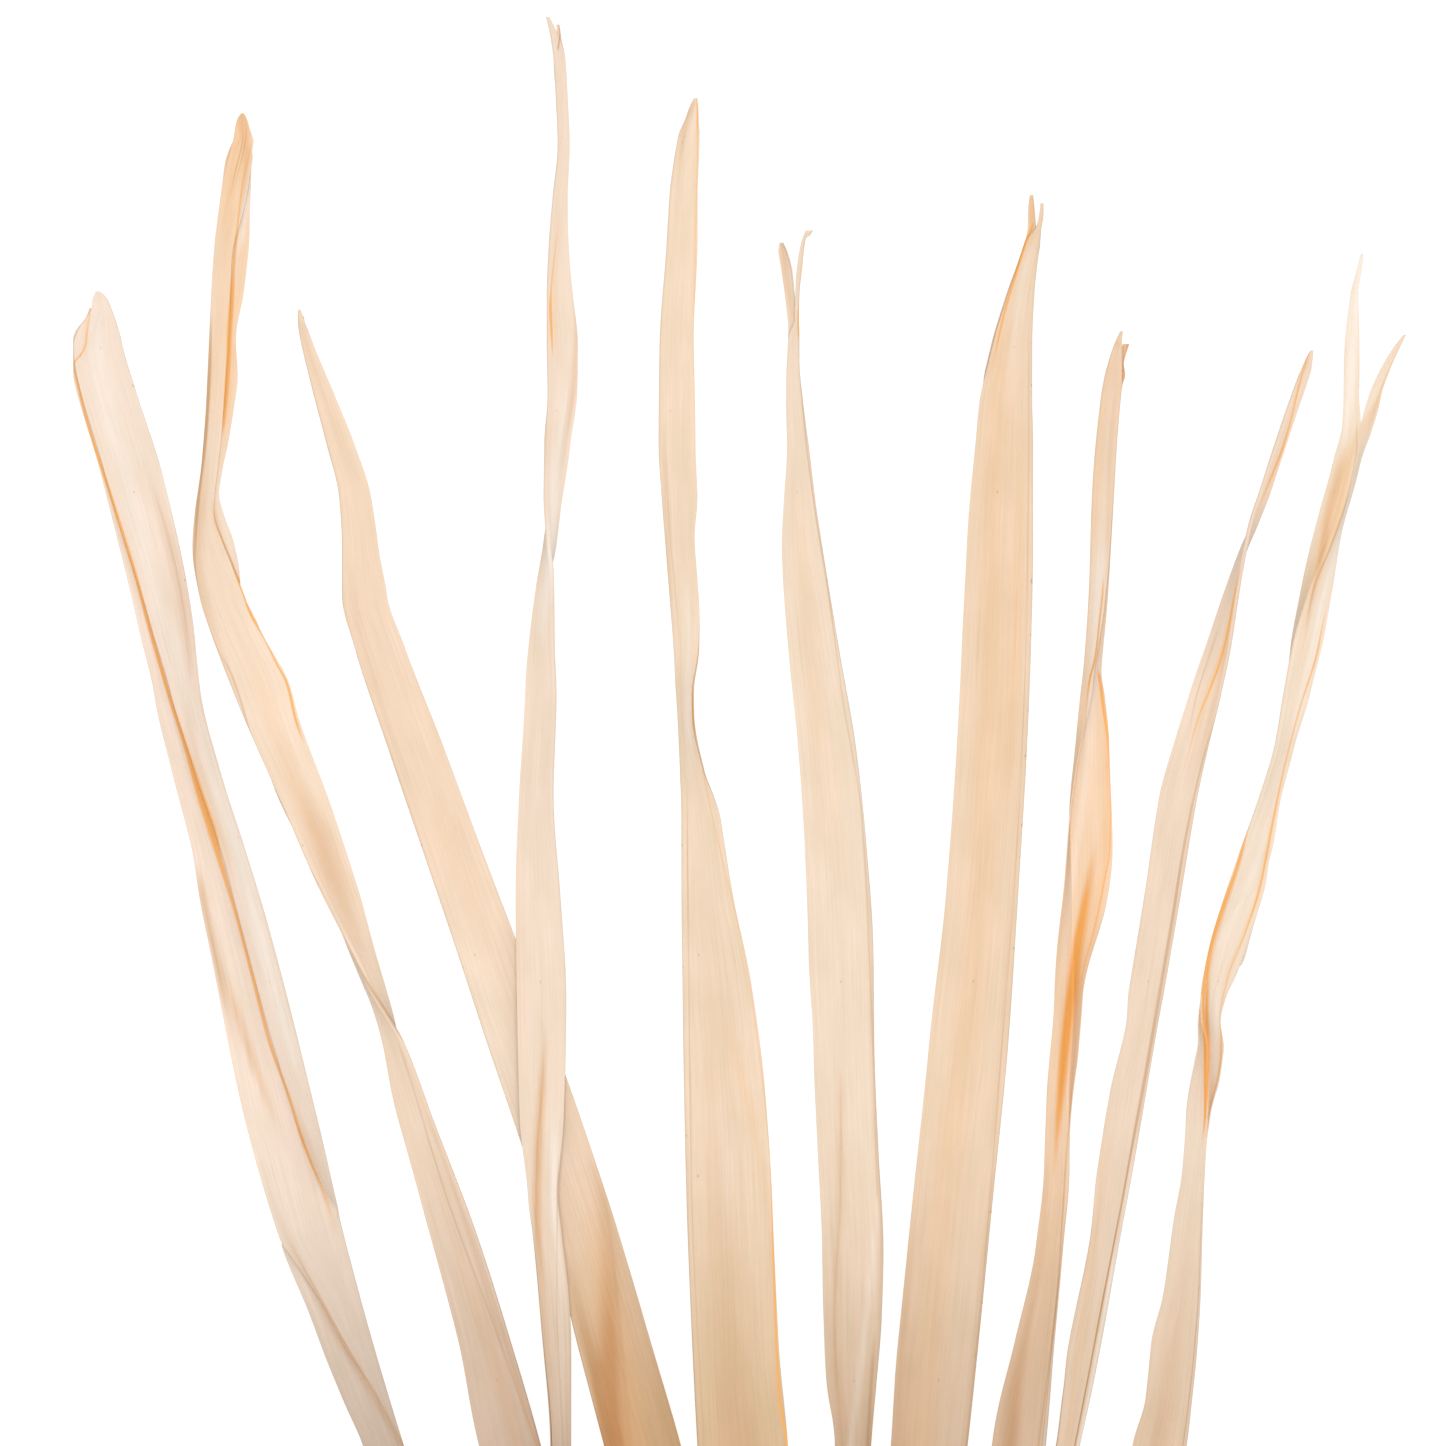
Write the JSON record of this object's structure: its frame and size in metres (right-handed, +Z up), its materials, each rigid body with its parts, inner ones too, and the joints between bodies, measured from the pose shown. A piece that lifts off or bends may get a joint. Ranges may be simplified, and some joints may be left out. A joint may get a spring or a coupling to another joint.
{
  "type": "dried palm leaf bouquet",
  "caption": "Bunch of tall bleached dried palm leaflets, folded lengthwise and twisted, fanned out from a raffia tie near the cut stalk ends and laid flat.",
  "frame": {"origin": "centre of the bounding box's footprint, on the surface that the bunch lies on", "axes": "+Y from the tied stalks towards the leaf tips, +X to the right of the fan seen from above with the tips upward, +Z up from the surface"},
  "size_m": [0.5338, 1.0542, 0.036],
  "materials": {
    "palm_leaf": "matt dried leaf fibre",
    "raffia": "matt"
  },
  "bodies": {
    "root": {"palm_leaf_01": "palm_leaf", "palm_leaf_02": "palm_leaf", "palm_leaf_03": "palm_leaf", "palm_leaf_04": "palm_leaf", "palm_leaf_05": "palm_leaf", "palm_leaf_06": "palm_leaf", "palm_leaf_07": "palm_leaf", "palm_leaf_08": "palm_leaf", "palm_leaf_09": "palm_leaf", "palm_leaf_10": "palm_leaf", "raffia_tie": "raffia"}
  },
  "joints": []
}
